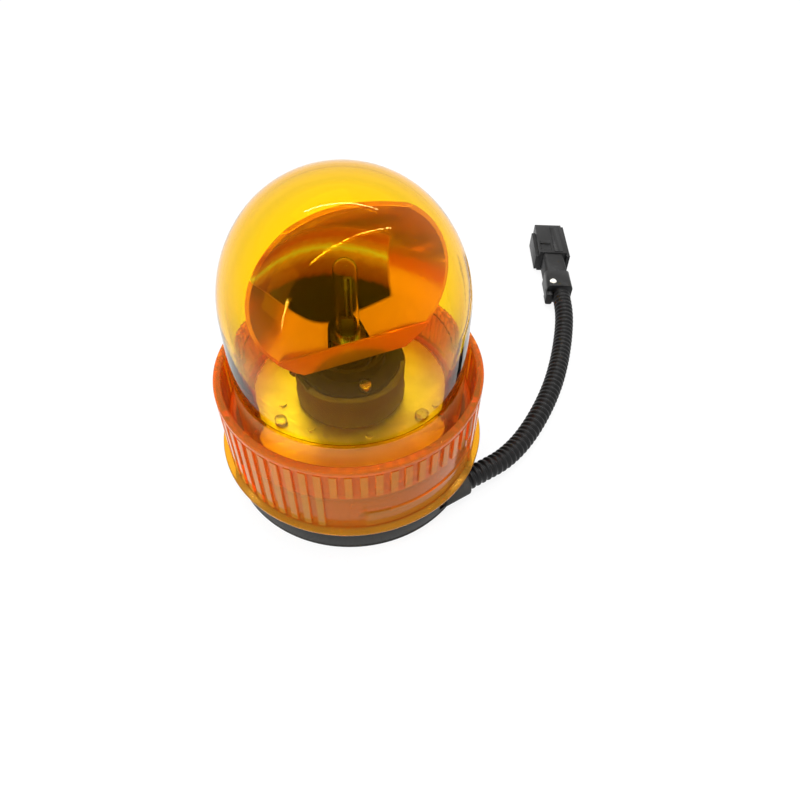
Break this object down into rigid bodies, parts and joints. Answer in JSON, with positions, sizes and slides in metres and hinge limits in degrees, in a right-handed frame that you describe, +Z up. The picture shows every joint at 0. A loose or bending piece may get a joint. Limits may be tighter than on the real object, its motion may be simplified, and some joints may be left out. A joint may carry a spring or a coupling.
{
  "type": "rotating beacon",
  "caption": "Rotating warning beacon: amber dome with ribbed twist collar, turning reflector on a black base, short corrugated lead with connector.",
  "frame": {"origin": "centre of the base's underside, where the beacon stands or is bolted down", "axes": "+Z up along the axis of the dome and of the rotor; -Y the side with the smooth panel in the ribbed collar; the lead leaves at +X -Y"},
  "size_m": [0.1997, 0.2172, 0.1396],
  "materials": {
    "amber_polycarbonate": "clear amber, polished moulding",
    "black_abs": "black moulded, light grain",
    "black_rubber": "matt black",
    "zinc_plate": "bright zinc plated sheet",
    "zinc_screws": "zinc plated",
    "brass": "turned or rolled brass",
    "bright_steel": "bright steel",
    "die_cast_zinc": "turned casting",
    "sintered_bronze": "oil-filled, dull",
    "chrome_mirror": "vacuum metallised",
    "white_nylon": "white moulded",
    "brown_phenolic": "pressed",
    "clear_glass": "clear blown",
    "tungsten": "drawn wire",
    "green_board": "epoxy laminate",
    "component_blue": "dipped",
    "ivory_block": "moulded",
    "wire_insulation": "red PVC",
    "black_conduit": "corrugated nylon",
    "black_nylon": "moulded nylon"
  },
  "bodies": {
    "base": {"base_housing": "black_abs", "mounting_pad": "black_rubber", "bottom_plate": "zinc_plate", "bottom_screws": "zinc_screws", "mounting_inserts": "brass", "globe_seal": "black_rubber", "chassis_plate": "zinc_plate", "chassis_screws": "zinc_screws", "lamp_post": "die_cast_zinc", "post_screws": "zinc_screws", "thrust_washer": "bright_steel", "retaining_ring": "bright_steel", "lamp_socket": "bright_steel", "socket_insulator": "brown_phenolic", "contact_plunger": "brass", "bulb_cap": "brass", "bulb_glass": "clear_glass", "bulb_filament": "tungsten", "idler_pin": "bright_steel", "motor_can": "bright_steel", "motor_end_cap": "white_nylon", "motor_clips": "bright_steel", "motor_screws": "zinc_screws", "suppressor_board": "green_board", "capacitor": "component_blue", "choke": "component_blue", "terminal_block": "ivory_block", "feed_wires": "wire_insulation", "lamp_wire": "wire_insulation", "cable_gland": "black_rubber", "conduit": "black_conduit", "connector_backshell": "black_nylon", "connector_housing": "black_nylon", "connector_lock": "black_nylon", "terminal_pins": "brass", "seal_plug": "white_nylon"},
    "rotor": {"turntable_drum": "black_abs", "rotor_bush": "sintered_bronze", "ring_gear": "white_nylon", "reflector": "chrome_mirror", "reflector_screws": "zinc_screws"},
    "idler": {"idler_gear": "white_nylon"},
    "motor": {"motor_pinion": "white_nylon", "motor_shaft": "bright_steel"},
    "globe": {"globe": "amber_polycarbonate"}
  },
  "joints": [
    {"name": "rotor_spin", "type": "hinge", "parent": "base", "child": "rotor", "pos_m": [0, 0, 0.05], "axis": [0, 0, 1], "continuous": true},
    {"name": "idler_spin", "type": "hinge", "parent": "base", "child": "idler", "pos_m": [-0.01299, 0.0075, 0.036], "axis": [0, 0, 1], "continuous": true},
    {"name": "motor_spin", "type": "hinge", "parent": "base", "child": "motor", "pos_m": [-0.02382, 0.01375, 0.03], "axis": [0, 0, 1], "continuous": true},
    {"name": "globe_twist", "type": "hinge", "parent": "base", "child": "globe", "pos_m": [0, 0, 0.03], "axis": [0, 0, 1], "range_deg": [0, 25]}
  ],
  "couplings": [
    {"joint": "idler_spin", "follows": "rotor_spin", "ratio": 6},
    {"joint": "motor_spin", "follows": "rotor_spin", "ratio": -24}
  ]
}
